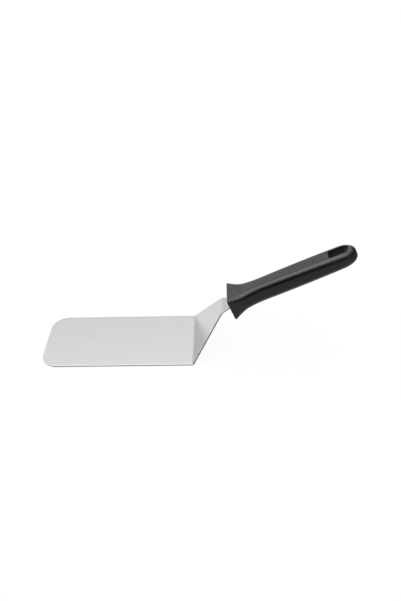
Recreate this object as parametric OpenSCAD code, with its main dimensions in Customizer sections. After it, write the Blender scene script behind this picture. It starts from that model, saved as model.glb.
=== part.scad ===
// Offset spatula: one pressed stainless sheet, with a plastic handle moulded over its tang.
//
// The origin is the centre of the blade's flat underside, the face that it rests on.
// +X runs from the tip towards the handle, +Y runs across the blade and +Z is up.
// All sizes are in millimetres and all angles in degrees.

/* [Blade] */
// Length of the flat blade, from its tip to the bend at its heel
blade_l = 160; // [120:5:200]
// Width of the flat blade
blade_w = 80; // [64:2:100]
// Thickness of the sheet, the same in the blade, the neck and the tang
sheet_t = 1.5; // [1:0.1:2]
// Radius of the two corners at the tip
tip_r = 18; // [8:1:28]
// Radius of the two outer corners where the blade's sides turn into the neck
heel_r = 3; // [1:0.5:6]

/* [Neck] */
// Length of the sloping neck, measured on its upper face between the two bend lines
neck_l = 54.5; // [46:0.5:66]
// Angle of the neck above the blade
neck_angle = 56.5; // [48:0.5:64]
// Width of the neck at the upper bend
neck_w = 26; // [22:1:30]
// Radius of the two inner corners where the neck's sides turn into the tang
neck_r = 12; // [4:1:16]
// Radius of the bend at the blade's heel, on the sheet's upper face
heel_bend_r = 1.5; // [1:0.5:4]
// Radius of the bend between the neck and the tang, on the sheet's upper face
upper_bend_r = 8; // [4:0.5:12]

/* [Tang] */
// Angle of the tang and the handle above the blade
tang_angle = 26; // [18:1:32]
// Length of bare tang between the upper bend line and the handle
bare_tang_l = 11.6; // [9:0.1:16]
// Width of the tang where it enters the handle
tang_w = 17; // [14:0.5:19]
// Length of the tang hidden inside the handle
hidden_tang_l = 72; // [60:1:90]
// Width of the tang at its hidden end
tang_end_w = 12; // [9:0.5:13]
// Radius of the two corners at the tang's hidden end
tang_end_r = 3; // [1:0.5:4]
// Radius of the two holes in the tang that the handle's plastic fills
key_hole_r = 2.5; // [1.5:0.25:3]
// Distance from the handle's front face to the first hole
key_hole_start = 24; // [18:1:28]
// Distance between the two holes
key_hole_pitch = 34; // [24:1:36]

/* [Handle] */
// Length of the handle along its own axis
handle_l = 135.5; // [125:0.5:150]
// Width of the flared front face
front_w = 35; // [30:0.5:40]
// Height of the flared front face
front_h = 27; // [23:0.5:30]
// Corner radius of the front face
front_r = 3; // [1:0.5:5]
// Lean of the front face towards the blade, away from square
front_lean = 4.5; // [0:0.5:8]
// Radius of the front face's rim
rim_r = 1.8; // [0.5:0.1:2.2]
// Width of the waist just behind the flare
waist_w = 20.5; // [19.5:0.5:24]
// Height of the waist
waist_h = 19.2; // [16:0.2:22]
// Width at the rear of the grip
rear_w = 23; // [22:0.5:26]
// Height at the rear of the grip
rear_h = 16.6; // [15:0.2:20]
// Corner radius of the grip's section
grip_r = 5.5; // [4:0.5:6.5]
// Distance that the handle's middle plane lies above the tang's upper face
handle_rise = 0.15; // [-1:0.05:1]

/* [Hanging slot] */
// Width of the slot
slot_w = 12; // [9:0.5:13]
// Length of the slot along the handle
slot_l = 20; // [14:0.5:24]
// Wall left between the slot and the handle's end
slot_wall = 5.9; // [4:0.1:8]
// Radius of the two corners at the slot's square front end
slot_r = 1.2; // [0.5:0.1:2]

/* [Hidden] */
// Distance over which the flare widens, and the power of its curve
flare_w_l = 38;
flare_w_power = 2.1;
// Distance over which the flare deepens, and the power of its curve
flare_h_l = 15;
flare_h_power = 1.3;
// Distance over which the corner radius changes from front_r to grip_r
front_r_l = 24;
// Distance from the front face to the waist and to the rear of the grip
waist_x = 30;
rear_x = 117;
// Length of the rounded end in plan and the radius of its upper and lower edges
end_l = 17;
end_r = 6.5;
// Gap all round the tang, which keeps the two solids apart
skin_gap = 0.05;
// Length of parallel tang on either side of the handle's front face
parallel_out = 1;
parallel_in = 8;
// How far a cutting shape stands past what it cuts
overshoot = 2;

// Stations along the handle, as distances from its front face
rim_steps = 4;
flare_steps = 16;
grip_steps = 8;
end_steps = 12;
corner_steps = 6;
arc_steps = 16;
last_end_angle = 88;
grip_end_x = handle_l - end_l;
stations = concat(
    [for (i = [0 : rim_steps]) rim_r * (1 - cos(90 * i / rim_steps))],
    [for (i = [1 : flare_steps]) rim_r + (flare_w_l - rim_r) * i / flare_steps],
    [for (i = [1 : grip_steps]) flare_w_l + (grip_end_x - flare_w_l) * i / grip_steps],
    [for (i = [1 : end_steps]) grip_end_x + end_l * sin(last_end_angle * i / end_steps)]
);
section_points = 4 * (corner_steps + 1);

// Places on the sheet's upper face, in the side view: the two bend lines and the tang's end
heel = [blade_l / 2, sheet_t];
upper_bend = heel + neck_l * [cos(neck_angle), sin(neck_angle)];
tang_direction = [cos(tang_angle), sin(tang_angle)];
tang_end = upper_bend + (bare_tang_l + hidden_tang_l) * tang_direction;
handle_front_x = upper_bend.x + bare_tang_l * tang_direction.x;
top_z = heel.y + (neck_l + handle_l);

$fn = 96;

// Arc of radius r that rounds a corner of a path, or the corner itself where r is 0
function rounded(before, corner, after, r) =
    let (u = (before - corner) / norm(before - corner),
         v = (after - corner) / norm(after - corner),
         half = acos(u * v) / 2,
         centre = corner + (u + v) / norm(u + v) * r / sin(half),
         first = corner + u * r / tan(half) - centre,
         sweep = (cross(u, v) > 0 ? -1 : 1) * (180 - 2 * half))
    r == 0 ? [corner] : [for (i = [0 : arc_steps])
        let (angle = sweep * i / arc_steps)
        centre + [first.x * cos(angle) - first.y * sin(angle),
                  first.x * sin(angle) + first.y * cos(angle)]];

// A path with its inner points rounded, each by its own radius
function rounded_path(path, radii) = concat(
    [path[0]],
    [for (i = [1 : len(path) - 2]) each rounded(path[i - 1], path[i], path[i + 1], radii[i - 1])],
    [path[len(path) - 1]]
);

function reversed(path) = [for (i = [len(path) - 1 : -1 : 0]) path[i]];

// Closes a path that lies above the X axis with its mirror image below
function mirrored(path) = concat(path, [for (p = reversed(path)) [p.x, -p.y]]);

// The point on the sheet's lower face that lies under a bend line of the upper face
function under(point, before_angle, after_angle) =
    let (middle = (before_angle + after_angle) / 2)
    point + sheet_t / cos((after_angle - before_angle) / 2) * [sin(middle), -cos(middle)];

function clamp01(v) = min(1, max(0, v));
// One at the front face, falling smoothly to zero at the given distance
function fade(x, distance, power) = pow(clamp01(1 - x / distance), power);
// Depth of a quarter round of radius r, at distance d from where the round starts
function round_drop(d, r) = r - sqrt(max(0, r * r - pow(min(r, max(0, d)), 2)));
// How far along the grip a station is, from 0 at the waist to 1 at the rear
function grip_share(x) = clamp01((x - waist_x) / (rear_x - waist_x));
// Share of the width that is left inside the rounded end
function end_share(x) = sqrt(1 - pow(clamp01((x - grip_end_x) / end_l), 2));

function half_width(x) =
    end_share(x) * (waist_w
        + (rear_w - waist_w) * sin(90 * grip_share(x))
        + (front_w - waist_w) * fade(x, flare_w_l, flare_w_power)) / 2
    - round_drop(rim_r - x, rim_r);

function half_height(x) =
    (waist_h
        - (waist_h - rear_h) * pow(grip_share(x), 2)
        + (front_h - waist_h) * fade(x, flare_h_l, flare_h_power)) / 2
    - round_drop(x - handle_l + end_r, end_r)
    - round_drop(rim_r - x, rim_r);

function corner_radius(x) =
    min(grip_r + (front_r - grip_r) * fade(x, front_r_l, 2), half_width(x), half_height(x));

// One section of the handle as a rounded rectangle, anticlockwise seen from the handle's end
function section(x) =
    let (r = corner_radius(x), y = half_width(x) - r, z = half_height(x) - r)
    [for (corner = [0 : 3], i = [0 : corner_steps])
        let (angle = 90 * (corner + i / corner_steps),
             side = (corner == 0 || corner == 3) ? 1 : -1,
             level = corner < 2 ? 1 : -1,
             up = level * z + r * sin(angle))
        [x + up * tan(front_lean) * fade(x, flare_w_l, 1), side * y + r * cos(angle), up]];

function band_faces(ring) =
    [for (i = [0 : section_points - 1])
        let (a = ring * section_points + i,
             b = ring * section_points + (i + 1) % section_points)
        each [[a, a + section_points, b], [b, a + section_points, b + section_points]]];

// Moves its children into the tang's own frame: X along the tang from the upper bend line,
// Z square to the sheet and zero on its upper face
module at_tang() {
    translate([upper_bend.x, 0, upper_bend.y])
        rotate([0, -tang_angle, 0])
            children();
}

// Moves its children into the handle's own frame: X from its front face, Z zero on its middle plane
module at_handle() {
    at_tang()
        translate([bare_tang_l, 0, handle_rise])
            children();
}

// Side view of the whole sheet, with X along the page and Z up the page
module sheet_side() {
    tip_x = -blade_l / 2;
    upper_face = rounded_path(
        [[tip_x, sheet_t], heel, upper_bend, tang_end],
        [heel_bend_r, upper_bend_r]);
    lower_face = rounded_path(
        [
            [tip_x, 0],
            under(heel, 0, neck_angle),
            under(upper_bend, neck_angle, tang_angle),
            under(tang_end, tang_angle, tang_angle)
        ],
        [heel_bend_r + sheet_t, upper_bend_r - sheet_t]);
    polygon(concat(upper_face, reversed(lower_face)));
}

// Plan of the whole sheet: the blade, the narrowing neck and the tang
module sheet_plan() {
    tip_x = -blade_l / 2;
    half_outline = rounded_path(
        [
            [tip_x, 0],
            [tip_x, blade_w / 2],
            [heel.x, blade_w / 2],
            [upper_bend.x, neck_w / 2],
            [handle_front_x - parallel_out, tang_w / 2],
            [handle_front_x + parallel_in, tang_w / 2],
            [tang_end.x, tang_end_w / 2],
            [tang_end.x, 0]
        ],
        [tip_r, heel_r, neck_r, 0, 0, tang_end_r]);
    polygon(mirrored(half_outline));
}

// The two pegs of plastic, or the two holes, that lock the tang into the handle
module tang_keys(r) {
    for (i = [0, 1])
        at_tang()
            translate([bare_tang_l + key_hole_start + i * key_hole_pitch, 0, -sheet_t - overshoot])
                cylinder(r = r, h = sheet_t + 2 * overshoot);
}

// Room that the handle leaves for the tang, open at its front face
module tang_cavity() {
    half_outline = rounded_path(
        [
            [handle_front_x - parallel_out, 0],
            [handle_front_x - parallel_out, tang_w / 2 + skin_gap],
            [handle_front_x + parallel_in, tang_w / 2 + skin_gap],
            [tang_end.x + skin_gap, tang_end_w / 2 + skin_gap],
            [tang_end.x + skin_gap, 0]
        ],
        [0, 0, tang_end_r + skin_gap]);
    difference() {
        intersection() {
            linear_extrude(top_z)
                polygon(mirrored(half_outline));
            at_tang()
                translate([0, -tang_w, -sheet_t - skin_gap])
                    cube([2 * hidden_tang_l, 2 * tang_w, sheet_t + 2 * skin_gap]);
        }
        tang_keys(key_hole_r - skin_gap);
    }
}

// The handle's outer skin, lofted through its stations
module handle_skin() {
    last_ring = (len(stations) - 1) * section_points;
    polyhedron(
        points = [for (x = stations) each section(x)],
        faces = concat(
            [[for (i = [0 : section_points - 1]) i]],
            [for (ring = [0 : len(stations) - 2]) each band_faces(ring)],
            [[for (i = [0 : section_points - 1]) last_ring + section_points - 1 - i]]
        )
    );
}

// Plan of the hanging slot: square at the front, half round at the rear
module slot_plan() {
    rear = handle_l - slot_wall - slot_w / 2;
    front = handle_l - slot_wall - slot_l;
    translate([rear, 0])
        circle(slot_w / 2);
    translate([front + slot_r, -slot_w / 2])
        square([rear - front - slot_r, slot_w]);
    translate([front, slot_r - slot_w / 2])
        square([slot_r, slot_w - 2 * slot_r]);
    for (side = [-1, 1])
        translate([front + slot_r, side * (slot_w / 2 - slot_r)])
            circle(slot_r);
}

module blade() {
    color("silver")
        difference() {
            intersection() {
                translate([0, blade_w / 2, 0])
                    rotate([90, 0, 0])
                        linear_extrude(blade_w)
                            sheet_side();
                linear_extrude(top_z)
                    sheet_plan();
            }
            tang_keys(key_hole_r);
        }
}

module handle() {
    color([0.09, 0.09, 0.1])
        difference() {
            at_handle()
                handle_skin();
            tang_cavity();
            at_handle()
                translate([0, 0, -waist_h])
                    linear_extrude(2 * waist_h)
                        slot_plan();
        }
}

blade();
handle();
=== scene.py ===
import math

import bmesh
import bpy
import numpy as np
from mathutils import Matrix, Vector


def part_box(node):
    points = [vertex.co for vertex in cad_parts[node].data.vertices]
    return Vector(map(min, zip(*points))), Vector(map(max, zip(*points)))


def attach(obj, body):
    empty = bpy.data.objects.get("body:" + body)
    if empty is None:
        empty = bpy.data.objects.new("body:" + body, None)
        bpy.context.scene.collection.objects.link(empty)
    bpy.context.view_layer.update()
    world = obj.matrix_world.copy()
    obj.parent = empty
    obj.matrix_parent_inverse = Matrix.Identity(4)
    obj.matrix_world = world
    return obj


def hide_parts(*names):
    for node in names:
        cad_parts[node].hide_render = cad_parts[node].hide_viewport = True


# Offset spatula: a brushed stainless sheet and a moulded black plastic handle, built around the
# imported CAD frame. Shapes are worked out in millimetres and handed to Blender in metres.

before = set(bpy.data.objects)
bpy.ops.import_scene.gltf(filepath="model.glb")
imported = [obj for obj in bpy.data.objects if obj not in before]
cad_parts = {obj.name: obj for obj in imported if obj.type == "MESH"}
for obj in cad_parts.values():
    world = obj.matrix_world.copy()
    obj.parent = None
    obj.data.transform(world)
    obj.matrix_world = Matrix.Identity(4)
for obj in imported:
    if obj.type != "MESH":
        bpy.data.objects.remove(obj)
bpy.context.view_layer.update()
UV_NAME = "flat_pattern"
MM = 0.001
WELD = 0.0001 * MM

# The sheet. The blade's tip and width come from the frame, whose origin is the blade's centre. The
# tang's sides are parallel from PARALLEL_OUT before the handle's front to PARALLEL_IN inside it.
TIP_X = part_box("blade")[0].x / MM
HEEL_X = -TIP_X
BLADE_HALF_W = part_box("blade")[1].y / MM
SHEET_T = 1.5
TIP_R = 18.0
HEEL_R = 3.0
NECK_L = 54.5
NECK_ANGLE = math.radians(56.5)
NECK_HALF_W = 13.0
NECK_R = 12.0
HEEL_BEND_R = 1.5
UPPER_BEND_R = 8.0
TANG_ANGLE = math.radians(26)
BARE_TANG_L = 11.6
TANG_HALF_W = 8.5
HIDDEN_TANG_L = 72.0
TANG_END_HALF_W = 6.0
TANG_END_R = 3.0
PARALLEL_OUT = 1.0
PARALLEL_IN = 8.0
EDGE_R = 0.32

# The handle, in its own frame: X from its front face, Z square to the tang
HANDLE_L = 135.5
HANDLE_RISE = 0.15
FRONT_HALF_W = 17.5
FRONT_HALF_H = 13.5
FRONT_LEAN = math.tan(math.radians(4.5))
FRONT_R = 3.0
FRONT_R_L = 24.0
RIM_R = 1.8
FLARE_W_L = 38.0
FLARE_W_POWER = 2.1
FLARE_H_L = 15.0
FLARE_H_POWER = 1.3
WAIST_X = 30.0
WAIST_HALF_W = 10.25
WAIST_HALF_H = 9.6
REAR_X = 117.0
REAR_HALF_W = 11.5
REAR_HALF_H = 8.3
GRIP_R = 5.5
END_L = 17.0
END_R = 6.5
SKIN_GAP = 0.05

# The hanging slot, square at the front and half round at the rear
SLOT_HALF_W = 6.0
SLOT_L = 20.0
SLOT_WALL = 5.9
SLOT_R = 1.2
LIP_R = 1.0

# The pocket that the tang fills, whose mouth is bevelled
POCKET_HALF_H = SHEET_T / 2 + SKIN_GAP
POCKET_R = 0.2
MOUTH_BEVEL = 0.3

# How finely the sheet is drawn: steps round its curves, and points across it
BEND_STEPS = 24
TIP_STEPS = 28
TANG_END_STEPS = 8
EDGE_STEPS = 5
SHEET_COLUMNS = 33

# How finely the handle is drawn. The front's sections and the rear's rows meet at REAR_START, so they
# share the steps up a side wall, round a long edge and across the top.
REAR_START = 98.0
WALL_STEPS = 3
CORNER_STEPS = 18
STRIP_CORNER_STEPS = 11
TOP_STEPS = 12
RIM_STEPS = 8
FLARE_STEP = 0.75
GRIP_STEP = 2.0
FACE_STEPS = 6
MOUTH_STEP = 1.0
POCKET_STEP = 4.0
POCKET_END_STEPS = 6
REAR_SIDE_STEPS = 9
REAR_ROUND_STEPS = 24
REAR_TOP_STEPS = 8
REAR_FINE_STEPS = 12
LIP_STEPS = 6
BORE_STEPS = 4


# ---------------------------------------------------------------- mesh helpers

class Shell:
    """Collects rings and grids of points, in millimetres, and turns them into one clean mesh."""

    def __init__(self):
        self.points = []
        self.faces = []
        self.values = {}

    def add(self, points, **values):
        """Adds an array of points, and per-point values, and gives back an array of indices."""
        points = np.asarray(points, float)
        first = len(self.points)
        flat = points.reshape(-1, 3)
        self.points.extend(map(tuple, flat))
        for name, value in values.items():
            column = np.broadcast_to(value, points.shape[:-1]).reshape(-1)
            self.values.setdefault(name, {}).update(enumerate(column, first))
        return np.arange(first, first + len(flat)).reshape(points.shape[:-1])

    def grid(self, index, closed=False):
        """Quads between neighbouring rows and columns of an index array."""
        if closed:
            index = np.concatenate([index, index[:, :1]], axis=1)
        for a, b in zip(index[:-1], index[1:]):
            for i in range(len(a) - 1):
                self.faces.append((a[i], a[i + 1], b[i + 1], b[i]))

    def build(self, name, uv_values=None):
        """Welds the seams, turns every face outwards and links a smooth-shaded object."""
        mesh = bpy.data.meshes.new(name)
        faces = [[int(i) for i in face] for face in self.faces]
        mesh.from_pydata([Vector(p) * MM for p in self.points], [], faces)
        for value_name, values in self.values.items():
            attribute = mesh.attributes.new(value_name, "FLOAT", "POINT")
            column = np.zeros(len(self.points), np.float32)
            for i, value in values.items():
                column[i] = value
            attribute.data.foreach_set("value", column)
        bm = bmesh.new()
        bm.from_mesh(mesh)
        bmesh.ops.remove_doubles(bm, verts=bm.verts, dist=WELD)
        bmesh.ops.dissolve_degenerate(bm, edges=bm.edges, dist=WELD)
        bmesh.ops.recalc_face_normals(bm, faces=bm.faces)
        if uv_values:
            unwrap(bm, *uv_values)
        bm.to_mesh(mesh)
        bm.free()
        mesh.shade_smooth()
        piece = bpy.data.objects.new(name, mesh)
        bpy.context.scene.collection.objects.link(piece)
        return piece


def unwrap(bm, u_name, v_name):
    """Copies two point values into a UV map, in metres."""
    u_layer = bm.verts.layers.float[u_name]
    v_layer = bm.verts.layers.float[v_name]
    uv_layer = bm.loops.layers.uv.new(UV_NAME)
    for face in bm.faces:
        for loop in face.loops:
            loop[uv_layer].uv = (loop.vert[u_layer] * MM, loop.vert[v_layer] * MM)


def rounded_path(corners, radii):
    """A path of points whose inner corners are rounded, each by its own radius."""
    corners = [np.array(c, float) for c in corners]
    path = [corners[0]]
    for before, corner, after, radius in zip(corners, corners[1:], corners[2:], radii):
        to_before = (before - corner) / np.linalg.norm(before - corner)
        to_after = (after - corner) / np.linalg.norm(after - corner)
        half = math.acos(np.clip(to_before @ to_after, -1, 1)) / 2
        if radius == 0:
            path.append(corner)
            continue
        middle = (to_before + to_after) / np.linalg.norm(to_before + to_after)
        centre = corner + middle * radius / math.sin(half)
        start = corner + to_before * radius / math.tan(half) - centre
        end = corner + to_after * radius / math.tan(half) - centre
        turn = math.pi - 2 * half
        for share in np.linspace(0, 1, BEND_STEPS + 1):
            arm = start * math.sin((1 - share) * turn) + end * math.sin(share * turn)
            path.append(centre + arm / math.sin(turn))
    path.append(corners[-1])
    return np.array(path)


def spread(*stops):
    """Stations through (place, step) stops: each stretch is cut into pieces no longer than its step."""
    stations = [stops[0][0]]
    for (start, step), (end, _) in zip(stops, stops[1:]):
        count = max(1, math.ceil((end - start) / step))
        stations.extend(np.linspace(start, end, count + 1)[1:])
    return np.array(stations)


def round_drop(distance, radius):
    """How far a rounded edge falls away at a distance past its start."""
    return radius - np.sqrt(radius ** 2 - np.clip(distance, 0, radius) ** 2)


# ---------------------------------------------------------------- the sheet

def bend_tangent(radius, turn):
    """Distance from a bend line to where its arc starts, on the upper face."""
    return radius * math.tan(abs(turn) / 2)


HEEL_TURN = NECK_ANGLE
UPPER_TURN = TANG_ANGLE - NECK_ANGLE
HEEL_TANGENT = bend_tangent(HEEL_BEND_R, HEEL_TURN)
UPPER_TANGENT = bend_tangent(UPPER_BEND_R, UPPER_TURN)
BLADE_L = HEEL_X - TIP_X

# The upper face in the side view, as (length, turn) stretches from the tip to the tang's end
SHEET_STRETCHES = [
    (BLADE_L - HEEL_TANGENT, 0.0),
    (HEEL_BEND_R * HEEL_TURN, HEEL_TURN),
    (NECK_L - HEEL_TANGENT - UPPER_TANGENT, 0.0),
    (UPPER_BEND_R * abs(UPPER_TURN), UPPER_TURN),
    (BARE_TANG_L + HIDDEN_TANG_L - UPPER_TANGENT, 0.0),
]
SHEET_L = sum(length for length, _ in SHEET_STRETCHES)
HEEL_END = SHEET_STRETCHES[0][0] + SHEET_STRETCHES[1][0]
UPPER_START = HEEL_END + SHEET_STRETCHES[2][0]
UPPER_END = UPPER_START + SHEET_STRETCHES[3][0]

NECK_DIRECTION = np.array([math.cos(NECK_ANGLE), math.sin(NECK_ANGLE)])
UPPER_BEND = np.array([HEEL_X, SHEET_T]) + NECK_L * NECK_DIRECTION
TANG_DIRECTION = np.array([math.cos(TANG_ANGLE), math.sin(TANG_ANGLE)])
HANDLE_FRONT_X = UPPER_BEND[0] + BARE_TANG_L * TANG_DIRECTION[0]
TANG_END_X = UPPER_BEND[0] + (BARE_TANG_L + HIDDEN_TANG_L) * TANG_DIRECTION[0]

# Places along the sheet, each with the longest step to the next: fine round its bends and corners
SHEET_STOPS = [
    (TIP_R, 2.5),
    (HEEL_END - 6, 0.5),
    (HEEL_END - 2.4, 0.1),
    (HEEL_END + 2.6, 0.6),
    (HEEL_END + 8, 1.5),
    (UPPER_START - 5, 0.4),
    (UPPER_END + 6, 1.0),
    (SHEET_L - TANG_END_R, 1.0),
]


def upper_face(s):
    """Place and slope of the sheet's upper face at distance s from the tip."""
    x = np.full(s.shape, TIP_X)
    z = np.full(s.shape, SHEET_T)
    slope = np.zeros(s.shape)
    start = 0.0
    heading = 0.0
    for length, turn in SHEET_STRETCHES:
        along = np.clip(s - start, 0, length)
        if turn:
            radius = length / turn
            x += radius * (np.sin(heading + along / radius) - math.sin(heading))
            z += radius * (math.cos(heading) - np.cos(heading + along / radius))
            slope += along / radius
        else:
            x += along * math.cos(heading)
            z += along * math.sin(heading)
        start += length
        heading += turn
    return x, z, slope


def sheet_points(s, v, depth):
    """Points of the sheet in the part's frame, at a depth below its upper face."""
    x, z, slope = upper_face(s)
    return np.stack([x + depth * np.sin(slope), v, z - depth * np.cos(slope)], axis=-1)


def sheet_half_width(x):
    """Half the sheet's width in plan, with every corner rounded."""
    plan = rounded_path(
        [
            (TIP_X, BLADE_HALF_W),
            (HEEL_X, BLADE_HALF_W),
            (UPPER_BEND[0], NECK_HALF_W),
            (HANDLE_FRONT_X - PARALLEL_OUT, TANG_HALF_W),
            (HANDLE_FRONT_X + PARALLEL_IN, TANG_HALF_W),
            (TANG_END_X, TANG_END_HALF_W),
        ],
        [HEEL_R, NECK_R, 0, 0])
    half = np.interp(x, plan[:, 0], plan[:, 1])
    half -= round_drop(TIP_X + TIP_R - x, TIP_R)
    half -= round_drop(x - TANG_END_X + TANG_END_R, TANG_END_R)
    return half


def corner_stations(radius, steps):
    """Distances over which a rounded corner turns through a right angle, in even turns."""
    return radius * (1 - np.cos(np.linspace(0, math.pi / 2, steps + 1)))


def sheet_stations():
    """Distances from the tip at which the sheet is drawn."""
    tip = corner_stations(TIP_R, TIP_STEPS)
    end = SHEET_L - corner_stations(TANG_END_R, TANG_END_STEPS)[::-1]
    return np.concatenate([tip, spread(*SHEET_STOPS)[1:-1], end])


def outline_normals(s, v):
    """Outward normals of the +Y side of the flat pattern, square to the tip at its first point."""
    ds = np.gradient(s)
    dv = np.gradient(v)
    normals = np.stack([-dv, ds], axis=-1)
    normals /= np.linalg.norm(normals, axis=1)[:, None]
    normals[0] = (-1, 0)
    normals[-1] = (1, 0)
    return normals


def make_blade():
    """The whole sheet as one shell: two faces, and an edge rounded over all the way round."""
    s = sheet_stations()
    v = sheet_half_width(upper_face(s)[0])
    normals = outline_normals(s, v)
    inset_s = s - normals[:, 0] * EDGE_R
    inset_v = v - normals[:, 1] * EDGE_R
    across = np.linspace(-1, 1, SHEET_COLUMNS)
    face_s = np.repeat(inset_s[:, None], SHEET_COLUMNS, axis=1)
    face_v = inset_v[:, None] * across[None, :]
    mirrored = normals * (1, -1)

    def around(grid):
        """The outer loop of a grid: the tip, the +Y side, the tang's end and the -Y side."""
        return np.concatenate([grid[0], grid[1:, -1], grid[-1, -2::-1], grid[-2:0:-1, 0]])

    loop_s = around(face_s)
    loop_v = around(face_v)
    tip_row = np.tile(normals[0], (SHEET_COLUMNS, 1))
    end_row = np.tile(normals[-1], (SHEET_COLUMNS - 1, 1))
    loop_normals = np.concatenate([tip_row, normals[1:], end_row, mirrored[-2:0:-1]])

    shell = Shell()
    for side in (0, 1):
        depth = np.full(face_s.shape, side * SHEET_T)
        face = shell.add(sheet_points(face_s, face_v, depth), s=face_s, v=face_v, edge=0)
        shell.grid(face)
    loops = []
    shares = np.linspace(0, 1, EDGE_STEPS + 1)
    upper = [(share, 0.0, 1) for share in shares]
    lower = [(share, SHEET_T, -1) for share in shares[::-1]]
    for share, face_depth, inwards in upper + lower:
        turn = math.pi / 2 * share
        out = EDGE_R * math.sin(turn)
        drop = EDGE_R * (1 - math.cos(turn))
        ring_s = loop_s + loop_normals[:, 0] * out
        ring_v = loop_v + loop_normals[:, 1] * out
        depth = np.full(loop_s.shape, face_depth + inwards * drop)
        ring = sheet_points(ring_s, ring_v, depth)
        loops.append(shell.add(ring, s=ring_s, v=ring_v, edge=share))
    shell.grid(np.array(loops), closed=True)
    return shell.build("blade_sheet", uv_values=("s", "v"))


# ---------------------------------------------------------------- the handle

def fade(x, distance, power):
    """Falls from 1 at the front face to 0 at a distance from it."""
    return np.clip(1 - x / distance, 0, 1) ** power


def grip_share(x):
    """Share of the way from the waist to the rear."""
    return np.clip((x - WAIST_X) / (REAR_X - WAIST_X), 0, 1)


def side_half_width(x):
    """Half width of the handle before its end is rounded off."""
    swell = (REAR_HALF_W - WAIST_HALF_W) * np.sin(math.pi / 2 * grip_share(x))
    return WAIST_HALF_W + swell + (FRONT_HALF_W - WAIST_HALF_W) * fade(x, FLARE_W_L, FLARE_W_POWER)


def flat_half_height(x):
    """Half height of the handle's flat top above its middle plane."""
    taper = (WAIST_HALF_H - REAR_HALF_H) * grip_share(x) ** 2
    return WAIST_HALF_H - taper + (FRONT_HALF_H - WAIST_HALF_H) * fade(x, FLARE_H_L, FLARE_H_POWER)


def section_radius(x):
    """Radius of the handle's long edges."""
    return GRIP_R + (FRONT_R - GRIP_R) * fade(x, FRONT_R_L, 2)


def half_section(half_w, half_h, radius):
    """Y and Z of a rounded rectangle's upper half, from its +Y side over to its -Y side."""
    wall = np.linspace(0, half_h - radius, WALL_STEPS + 1)[:-1]
    turn = np.linspace(0, math.pi / 2, CORNER_STEPS + 1)
    corner_y = half_w - radius + radius * np.cos(turn)
    corner_z = half_h - radius + radius * np.sin(turn)
    top = np.linspace(half_w - radius, 0, TOP_STEPS // 2 + 1)[1:]
    y = np.concatenate([np.full(WALL_STEPS, half_w), corner_y, top])
    z = np.concatenate([wall, corner_z, np.full(len(top), half_h)])
    return np.concatenate([y, -y[-2::-1]]), np.concatenate([z, z[-2::-1]])


def whole_section(half_w, half_h, radius, middle=0.0):
    """Y and Z all the way round: the upper half, then the lower half back to the start."""
    y, z = half_section(half_w, half_h, radius)
    return np.concatenate([y, y[-2:0:-1]]), np.concatenate([z, -z[-2:0:-1]]) + middle


def to_part_frame(points):
    """From the handle's own frame to the part's frame, both in millimetres."""
    front = np.array([UPPER_BEND[0], 0, UPPER_BEND[1]])
    along = np.array([math.cos(TANG_ANGLE), 0, math.sin(TANG_ANGLE)])
    up = np.array([-math.sin(TANG_ANGLE), 0, math.cos(TANG_ANGLE)])
    x = points[..., 0:1] + BARE_TANG_L
    z = points[..., 2:3] + HANDLE_RISE
    return front + x * along + points[..., 1:2] * np.array([0, 1, 0]) + z * up


def lean(x, z):
    """Moves a section's points so that the front face leans and the waist stands square."""
    return x + z * FRONT_LEAN * fade(x, FLARE_W_L, 1)


def front_rings(shell):
    """The rounded rim, the flare and the grip, as rings from the front face to the slot's region."""
    rim = corner_stations(RIM_R, RIM_STEPS)
    past_flare = FLARE_W_L + 4
    beyond = spread((RIM_R, FLARE_STEP), (past_flare, GRIP_STEP), (REAR_START, GRIP_STEP))
    stations = np.concatenate([rim, beyond[1:]])
    rings = []
    for x in stations:
        inset = round_drop(RIM_R - x, RIM_R)
        half_w = side_half_width(x) - inset
        half_h = flat_half_height(x) - inset
        y, z = whole_section(half_w, half_h, section_radius(x))
        ring = np.stack([lean(np.full(y.shape, x), z), y, z], axis=-1)
        # Share of the rim that is rubbed smoother and lightened in a painted sheen
        worn_and_sheened = max(0.0, 1 - x / RIM_R)
        rings.append(shell.add(to_part_frame(ring), wear=worn_and_sheened))
    shell.grid(np.array(rings), closed=True)


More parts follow.
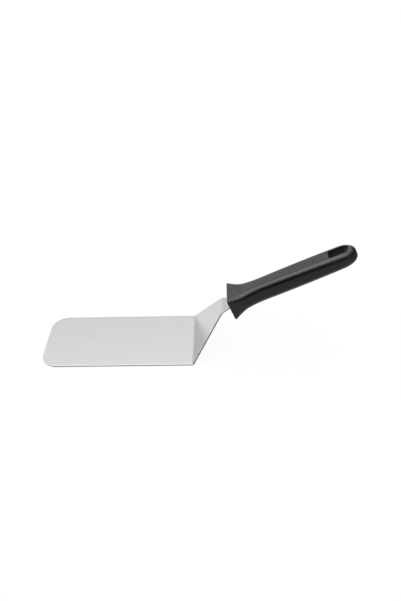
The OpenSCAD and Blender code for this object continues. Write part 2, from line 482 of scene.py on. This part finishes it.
def front_face(shell):
    """The flat front face, and the pocket in it that the tang fills."""
    half_w = side_half_width(0.0) - RIM_R
    half_h = flat_half_height(0.0) - RIM_R
    outer_y, outer_z = whole_section(half_w, half_h, FRONT_R)
    middle = -HANDLE_RISE - SHEET_T / 2
    mouth_half_w = TANG_HALF_W + SKIN_GAP + MOUTH_BEVEL
    mouth_half_h = POCKET_HALF_H + MOUTH_BEVEL
    mouth_y, mouth_z = whole_section(mouth_half_w, mouth_half_h, POCKET_R + MOUTH_BEVEL, middle)
    rings = []
    for share in np.linspace(0, 1, FACE_STEPS + 1):
        y = outer_y + (mouth_y - outer_y) * share
        z = outer_z + (mouth_z - outer_z) * share
        rings.append((lean(np.zeros(y.shape), z), y, z))
    bottom = HIDDEN_TANG_L + SKIN_GAP
    round_start = bottom - TANG_END_R
    sides = spread((MOUTH_BEVEL, MOUTH_STEP), (PARALLEL_IN, POCKET_STEP), (round_start, POCKET_STEP))
    ends = bottom - corner_stations(TANG_END_R, POCKET_END_STEPS)[::-1]
    for x in np.concatenate([sides, ends[1:]]):
        taper = np.clip((x - PARALLEL_IN) / (HIDDEN_TANG_L - PARALLEL_IN), 0, 1)
        pocket_half_w = TANG_HALF_W + (TANG_END_HALF_W - TANG_HALF_W) * taper + SKIN_GAP
        pocket_half_w -= round_drop(x - round_start, TANG_END_R)
        y, z = whole_section(pocket_half_w, POCKET_HALF_H, POCKET_R, middle)
        rings.append((lean(np.full(y.shape, x), z), y, z))
    index = [shell.add(to_part_frame(np.stack(ring, axis=-1)), wear=0) for ring in rings]
    shell.grid(np.array(index), closed=True)

    # The pocket's bottom, from the last section's upper half to its lower half
    last = index[-1]
    half = len(last) // 2
    lower = np.concatenate([last[:1], last[:half - 1:-1]])
    shell.grid(np.array([last[:half + 1], lower]))


def rear_outline():
    """Plan of the handle's rear: side, rounded end and other side, with inward normals."""
    side_x = np.linspace(REAR_START, HANDLE_L - END_L, REAR_SIDE_STEPS + 1)
    turn = np.linspace(0, math.pi / 2, REAR_ROUND_STEPS + 1)
    end_x = HANDLE_L - END_L + END_L * np.sin(turn)
    x = np.concatenate([side_x[:-1], end_x])
    share = np.concatenate([np.ones(len(side_x) - 1), np.cos(turn)])
    y = side_half_width(x) * share
    x = np.concatenate([x, x[-2::-1]])
    y = np.concatenate([y, -y[-2::-1]])
    tangent = np.stack([np.gradient(x), np.gradient(y)], axis=-1)
    tangent /= np.linalg.norm(tangent, axis=1)[:, None]
    inward = np.stack([tangent[:, 1], -tangent[:, 0]], axis=-1)
    inward[0] = (0, -1)
    inward[-1] = (0, 1)
    return np.stack([x, y], axis=-1), inward


def rear_radius(x):
    """Radius of the handle's long edges, which grows a little round the end."""
    share = np.clip((x - (HANDLE_L - END_L)) / END_L, 0, 1)
    return section_radius(x) + (END_R - GRIP_R) * share ** 2


def fine_outline(outline):
    """The same outline with extra points, for measuring distances."""
    steps = np.linspace(0, 1, REAR_FINE_STEPS, endpoint=False)
    fine = [a + (b - a) * t for a, b in zip(outline[:-1], outline[1:]) for t in steps]
    return np.array(fine + [outline[-1]])


def rear_height(points, outline):
    """Height of the handle's upper skin over points in plan."""
    gaps = np.linalg.norm(points[..., None, :] - outline, axis=-1)
    nearest = gaps.argmin(axis=-1)
    distance = gaps.min(axis=-1)
    radius = rear_radius(outline[nearest, 0])
    rise = np.sqrt(radius ** 2 - np.clip(radius - distance, 0, radius) ** 2)
    return flat_half_height(points[..., 0]) - radius + rise


def slot_loop(offset):
    """The slot's outline grown by an offset: +Y side, round rear, -Y side, then the front."""
    half = SLOT_HALF_W + offset
    rear = HANDLE_L - SLOT_WALL - SLOT_HALF_W
    front = HANDLE_L - SLOT_WALL - SLOT_L
    side_x = np.linspace(front + SLOT_R, rear, REAR_SIDE_STEPS + 1)
    turn = np.linspace(0, math.pi / 2, REAR_ROUND_STEPS + 1)
    x = np.concatenate([side_x[:-1], rear + half * np.sin(turn)])
    y = np.concatenate([np.full(REAR_SIDE_STEPS, half), half * np.cos(turn)])
    x = np.concatenate([x, x[-2::-1]])
    y = np.concatenate([y, -y[-2::-1]])
    corner = np.linspace(0, math.pi / 2, CORNER_STEPS - STRIP_CORNER_STEPS + 1)
    corner_x = front + SLOT_R - (SLOT_R + offset) * np.sin(corner)
    corner_y = SLOT_HALF_W - SLOT_R + (SLOT_R + offset) * np.cos(corner)
    edge_y = np.linspace(SLOT_R - SLOT_HALF_W, SLOT_HALF_W - SLOT_R, TOP_STEPS + 1)[1:-1]
    front_x = np.concatenate([corner_x[1:], np.full(len(edge_y), front - offset), corner_x[:0:-1]])
    front_y = np.concatenate([-corner_y[1:], edge_y, corner_y[:0:-1]])
    return np.stack([np.concatenate([x, front_x]), np.concatenate([y, front_y])], axis=-1)


def rear_skin(shell):
    """The end of the handle with its hanging slot, as an upper half and its mirror image."""
    outline, inward = rear_outline()
    fine = fine_outline(outline)
    radius = rear_radius(outline[:, 0])

    # Rows along the outline: up the side wall and part of the way round the long edge
    turns = np.linspace(0, math.pi / 2, CORNER_STEPS + 1)[:STRIP_CORNER_STEPS + 1]
    strips = []
    for share in np.linspace(0, 1, WALL_STEPS + 1)[:-1]:
        wall_z = (flat_half_height(outline[:, 0]) - radius) * share
        strips.append(np.column_stack([outline, wall_z]))
    for turn in turns:
        plan = outline + inward * (radius * (1 - math.cos(turn)))[:, None]
        z = flat_half_height(plan[:, 0]) - radius + radius * math.sin(turn)
        strips.append(np.column_stack([plan, z]))
    strips = np.array(strips)

    # Rings inwards from the last row, which the front's section closes: over the top, over the slot's
    # lip and down to the middle plane
    y, z = half_section(side_half_width(REAR_START), flat_half_height(REAR_START), GRIP_R)
    first = WALL_STEPS + STRIP_CORNER_STEPS
    across_y = y[::-1][first + 1:len(y) - first - 1]
    across_z = z[::-1][first + 1:len(y) - first - 1]
    across = np.column_stack([np.full(len(across_y), REAR_START), across_y, across_z])
    outer = np.concatenate([strips[-1], across])
    rings = [outer]
    lip = slot_loop(LIP_R)
    for share in np.linspace(0, 1, REAR_TOP_STEPS + 1)[1:]:
        plan = outer[:, :2] + (lip - outer[:, :2]) * share
        rings.append(np.column_stack([plan, rear_height(plan, fine)]))
    wear = [0.0] * len(rings)
    # Down the slot's lip, whose middle is rubbed smoother and lightened in a painted sheen
    for turn in np.linspace(0, math.pi / 2, LIP_STEPS + 1)[1:]:
        plan = slot_loop(LIP_R * (1 - math.sin(turn)))
        z = rear_height(plan, fine) - LIP_R * (1 - math.cos(turn))
        rings.append(np.column_stack([plan, z]))
        wear.append(math.sin(2 * turn))
    bore = rings[-1]
    for share in np.linspace(1, 0, BORE_STEPS + 1)[1:]:
        rings.append(bore * (1, 1, share))
        wear.append(0.0)
    rings = np.array(rings)
    values = np.repeat(np.array(wear)[:, None], rings.shape[1], axis=1)
    for mirror in ((1, 1, 1), (1, 1, -1)):
        shell.grid(shell.add(to_part_frame(strips * mirror), wear=0))
        shell.grid(shell.add(to_part_frame(rings * mirror), wear=values), closed=True)


def make_handle():
    shell = Shell()
    front_rings(shell)
    front_face(shell)
    rear_skin(shell)
    return shell.build("handle_grip")


# ---------------------------------------------------------------- materials

# Places of the colour sockets on Blender's mix node
MIX_FIRST = 6
MIX_SECOND = 7
MIX_RESULT = 2

# Ranges of a noise's value that are stretched over a whole change of tone or roughness
INNER = (0.35, 0.65)
WIDE = (0.3, 0.7)
WHOLE = (0, 1)


class Nodes:
    """Short calls for building the node tree of a material or a world."""

    def __init__(self, owner, shader_name):
        owner.use_nodes = True
        self.tree = owner.node_tree
        self.shader = self.tree.nodes[shader_name]

    def add(self, kind, **settings):
        node = self.tree.nodes.new(kind)
        for name, value in settings.items():
            setattr(node, name, value)
        return node

    def feed(self, socket, value):
        """Links another node's output to an input, or sets the input to a value."""
        if isinstance(value, bpy.types.NodeSocket):
            self.tree.links.new(value, socket)
        else:
            socket.default_value = value

    def set(self, node, **inputs):
        for name, value in inputs.items():
            self.feed(node.inputs[name.replace("_", " ")], value)
        return node

    def noise(self, vector, scale, detail, roughness, stretch=(1, 1, 1)):
        mapping = self.set(self.add("ShaderNodeMapping"), Vector=vector, Scale=stretch)
        node = self.add("ShaderNodeTexNoise")
        self.set(node, Vector=mapping.outputs["Vector"], Scale=scale, Detail=detail, Roughness=roughness)
        return node.outputs["Fac"]

    def map(self, value, source, target, **settings):
        """Maps a range of a value on to another range, and holds it at that range's ends."""
        node = self.add("ShaderNodeMapRange", **settings)
        low, high = source
        to_low, to_high = target
        self.set(node, Value=value, From_Min=low, From_Max=high, To_Min=to_low, To_Max=to_high)
        return node.outputs["Result"]

    def math(self, operation, a, b):
        node = self.add("ShaderNodeMath", operation=operation)
        self.feed(node.inputs[0], a)
        self.feed(node.inputs[1], b)
        return node.outputs["Value"]

    def mix(self, share, first, second):
        node = self.set(self.add("ShaderNodeMix", data_type="RGBA"), Factor=share)
        self.feed(node.inputs[MIX_FIRST], first)
        self.feed(node.inputs[MIX_SECOND], second)
        return node.outputs[MIX_RESULT]

    def bump(self, height, distance, **inputs):
        node = self.add("ShaderNodeBump")
        self.set(node, Strength=1.0, Distance=distance, Height=height, **inputs)
        return node.outputs["Normal"]

    def attribute(self, name):
        return self.add("ShaderNodeAttribute", attribute_name=name).outputs["Fac"]

    def place(self):
        """Place on the object, in metres."""
        return self.add("ShaderNodeTexCoord").outputs["Object"]


def colour(red, green, blue):
    return (red, green, blue, 1)


def grey(level):
    return colour(level, level, level)


def brushed_steel():
    """Stainless sheet brushed along its length, with a plainer, rougher edge left by grinding, whose
    lighter colour is a painted glint.
    """
    dark = colour(0.655, 0.655, 0.653)
    light = colour(0.695, 0.695, 0.693)
    # Painted glint: the rounded edge is given this colour, lighter than the steel's face
    glint_edge = grey(0.9)
    brushed_roughness = (0.28, 0.34)
    smudge_roughness = (-0.015, 0.02)
    edge_roughness = 0.06
    hairline_share = 0.6
    hairline_depth = 0.006 * MM
    material = bpy.data.materials.new("brushed_steel")
    n = Nodes(material, "Principled BSDF")
    pattern = n.add("ShaderNodeUVMap", uv_map=UV_NAME).outputs["UV"]
    tangent = n.add("ShaderNodeTangent", direction_type="UV_MAP", uv_map=UV_NAME).outputs["Tangent"]
    hairlines = n.noise(pattern, scale=1, detail=4, roughness=0.65, stretch=(30, 3600, 1))
    bands = n.noise(pattern, scale=1, detail=3, roughness=0.6, stretch=(7, 420, 1))
    smudges = n.noise(pattern, scale=26, detail=3, roughness=0.55)
    edge = n.attribute("edge")
    fine_streaks = n.math("MULTIPLY", hairlines, hairline_share)
    streaks = n.math("ADD", fine_streaks, n.math("MULTIPLY", bands, 1 - hairline_share))
    steel = n.mix(n.map(streaks, (0.38, 0.62), WHOLE), dark, light)
    brushed = n.map(streaks, INNER, brushed_roughness)
    smudged = n.math("ADD", brushed, n.map(smudges, WIDE, smudge_roughness))
    rough = n.math("ADD", smudged, n.math("MULTIPLY", edge, edge_roughness))
    # The edge mask blends in the painted glint colour and a little more roughness
    n.set(
        n.shader, Base_Color=n.mix(edge, steel, glint_edge), Metallic=1.0, Roughness=rough,
        Anisotropic=0.55, Anisotropic_Rotation=0.25, Tangent=tangent,
        Normal=n.bump(hairlines, hairline_depth))
    return material


def black_plastic():
    """Moulded black plastic with a fine spark-eroded grain and rims given a slight polish, whose lighter
    colour is a painted sheen.
    """
    dark = colour(0.004, 0.004, 0.0042)
    light = colour(0.008, 0.008, 0.0083)
    # Painted sheen: the rubbed rims are mixed towards this lighter colour
    sheen_colour = colour(0.035, 0.035, 0.036)
    sheen_share = 0.5
    grain_roughness = (0.24, 0.31)
    cloud_roughness = (-0.02, 0.03)
    polish = 0.06
    fine_depth = 0.03 * MM
    coarse_depth = 0.04 * MM
    material = bpy.data.materials.new("black_plastic")
    n = Nodes(material, "Principled BSDF")
    place = n.place()
    grain = n.noise(place, scale=1900, detail=2, roughness=0.6)
    coarse = n.noise(place, scale=620, detail=2, roughness=0.5)
    clouds = n.noise(place, scale=30, detail=3, roughness=0.5)
    wear = n.attribute("wear")
    tone = n.math("ADD", n.map(grain, INNER, (0, 0.7)), n.map(clouds, WIDE, (0, 0.3)))
    plastic = n.mix(tone, dark, light)
    # The rims' painted sheen: a lighter colour mixed in by the rim mask, which also lowers roughness
    # below
    worn_and_sheened = n.mix(n.math("MULTIPLY", wear, sheen_share), plastic, sheen_colour)
    clouded = n.map(clouds, WIDE, cloud_roughness)
    grained = n.math("ADD", n.map(coarse, INNER, grain_roughness), clouded)
    rough = n.math("SUBTRACT", grained, n.math("MULTIPLY", wear, polish))
    fine = n.bump(grain, fine_depth)
    n.set(
        n.shader, Base_Color=worn_and_sheened, Roughness=rough, IOR=1.55, Specular_IOR_Level=0.95,
        Normal=n.bump(coarse, coarse_depth, Normal=fine))
    return material


def studio_floor():
    """A back-lit table: mostly its own glow, so that shadows on it stay faint."""
    material = bpy.data.materials.new("studio_floor")
    n = Nodes(material, "Principled BSDF")
    paper = n.noise(n.place(), scale=900, detail=2, roughness=0.5)
    n.set(
        n.shader, Base_Color=n.mix(n.map(paper, WIDE, WHOLE), grey(0.07), grey(0.08)),
        Roughness=0.9, Specular_IOR_Level=0.0, Emission_Color=grey(1.0), Emission_Strength=0.94)
    return material


# ---------------------------------------------------------------- studio

FLOOR_HALF = 6.0
FLOOR_Z = -0.3 * MM


def make_floor():
    corners = [(-1, -1), (1, -1), (1, 1), (-1, 1)]
    mesh = bpy.data.meshes.new("floor")
    mesh.from_pydata([(x * FLOOR_HALF, y * FLOOR_HALF, FLOOR_Z) for x, y in corners], [], [(0, 1, 2, 3)])
    mesh.materials.append(studio_floor())
    floor = bpy.data.objects.new("floor", mesh)
    bpy.context.scene.collection.objects.link(floor)
    floor.visible_glossy = False


# Brightness of the studio by the direction's Z, from -1 straight down to 1 straight up: behind the
# object, behind the camera and beyond the handle's end
BACK_WALL = [
    (-1, 0.8), (-0.3, 1.06), (-0.08, 0.92), (0.08, 0.92), (0.25, 1.28), (0.37, 0.64),
    (0.53, 0.52), (0.72, 1.06), (0.8, 1.42), (0.86, 1.9), (0.94, 1.3), (1, 0.9),
]
FRONT_WALL = [
    (-1, 0.5), (-0.6, 0.21), (-0.25, 0.05), (0.1, 0.0), (0.42, 0.0),
    (0.64, 0.7), (0.8, 1.2), (0.86, 1.8), (0.94, 1.3), (1, 0.9),
]
END_WALL = [
    (-1, 0.5), (-0.6, 0.45), (-0.2, 0.15), (0.2, 0.05),
    (0.5, 0.15), (0.7, 0.4), (0.92, 0.9), (1, 0.9),
]
BRIGHTEST = 2.0
BACKDROP = 1.0

# Where one wall fades into the next, as ranges of the direction's Y and X
FRONT_TO_BACK = (-0.5, 0.3)
SIDES_TO_END = (0.1, 0.7)


def wall(n, height, stops):
    """Brightness of one wall at each height, as a share of BRIGHTEST."""
    ramp = n.set(n.add("ShaderNodeValToRGB"), Fac=height)
    elements = ramp.color_ramp.elements
    while len(elements) < len(stops):
        elements.new(0.5)
    for element, (z, brightness) in zip(elements, stops):
        element.position = (z + 1) / 2
        element.color = grey(brightness / BRIGHTEST)
    return ramp.outputs["Color"]


def make_world():
    """A soft studio, bright overhead and behind the object, that a camera sees as a plain backdrop."""
    world = bpy.data.worlds.new("studio")
    bpy.context.scene.world = world
    n = Nodes(world, "Background")
    direction = n.add("ShaderNodeTexCoord").outputs["Generated"]
    split = n.set(n.add("ShaderNodeSeparateXYZ"), Vector=direction)
    height = n.map(split.outputs["Z"], (-1, 1), WHOLE)
    front, back, end = [wall(n, height, stops) for stops in (FRONT_WALL, BACK_WALL, END_WALL)]
    backness = n.map(split.outputs["Y"], FRONT_TO_BACK, WHOLE, interpolation_type="SMOOTHSTEP")
    endness = n.map(split.outputs["X"], SIDES_TO_END, WHOLE, interpolation_type="SMOOTHSTEP")
    walls = n.mix(endness, n.mix(backness, front, back), end)
    seen = n.add("ShaderNodeLightPath").outputs["Is Camera Ray"]
    studio = n.mix(seen, walls, grey(BACKDROP / BRIGHTEST))
    n.set(n.shader, Color=studio, Strength=BRIGHTEST)


LAMP_PLACE = Vector((-0.9, -0.02, 1.7))
LAMP_AIM = Vector((0.15, 0, 0.08))
LAMP_SIZE = (0.8, 1.2)
LAMP_POWER = 2.2


def make_lamp():
    """A weak softbox high up beyond the tip."""
    data = bpy.data.lights.new("overhead", "AREA")
    data.shape = "RECTANGLE"
    data.size, data.size_y = LAMP_SIZE
    data.energy = LAMP_POWER
    lamp = bpy.data.objects.new("overhead", data)
    lamp.location = LAMP_PLACE
    lamp.rotation_euler = (LAMP_AIM - LAMP_PLACE).to_track_quat("-Z", "Y").to_euler()
    bpy.context.scene.collection.objects.link(lamp)


CAMERA_TARGET = Vector((89.1, 0, 54.1)) * MM
CAMERA_DISTANCE = 651.5 * MM
CAMERA_ELEVATION = math.radians(37.69)
CAMERA_AZIMUTH = math.radians(2.64)
CAMERA_ROLL = math.radians(-2.51)
CAMERA_LENS = 37.82
CAMERA_SENSOR = 36.0
CAMERA_NEAR = 0.01


def make_camera():
    data = bpy.data.cameras.new("camera")
    data.lens = CAMERA_LENS
    data.sensor_width = CAMERA_SENSOR
    data.clip_start = CAMERA_NEAR
    camera = bpy.data.objects.new("camera", data)
    back = Vector((
        math.sin(CAMERA_AZIMUTH) * math.cos(CAMERA_ELEVATION),
        -math.cos(CAMERA_AZIMUTH) * math.cos(CAMERA_ELEVATION),
        math.sin(CAMERA_ELEVATION)))
    right = Vector((math.cos(CAMERA_AZIMUTH), math.sin(CAMERA_AZIMUTH), 0))
    level = Matrix((right, back.cross(right), back)).transposed()
    camera.matrix_world = (
        Matrix.Translation(CAMERA_TARGET + back * CAMERA_DISTANCE)
        @ (level @ Matrix.Rotation(CAMERA_ROLL, 3, "Z")).to_4x4())
    bpy.context.scene.collection.objects.link(camera)
    bpy.context.scene.camera = camera


# ---------------------------------------------------------------- assembly

blade = make_blade()
blade.data.materials.append(brushed_steel())
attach(blade, "root")
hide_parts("blade")

handle = make_handle()
handle.data.materials.append(black_plastic())
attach(handle, "root")
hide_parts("handle")

make_floor()
make_world()
make_lamp()
make_camera()
bpy.context.scene.view_settings.view_transform = "Standard"
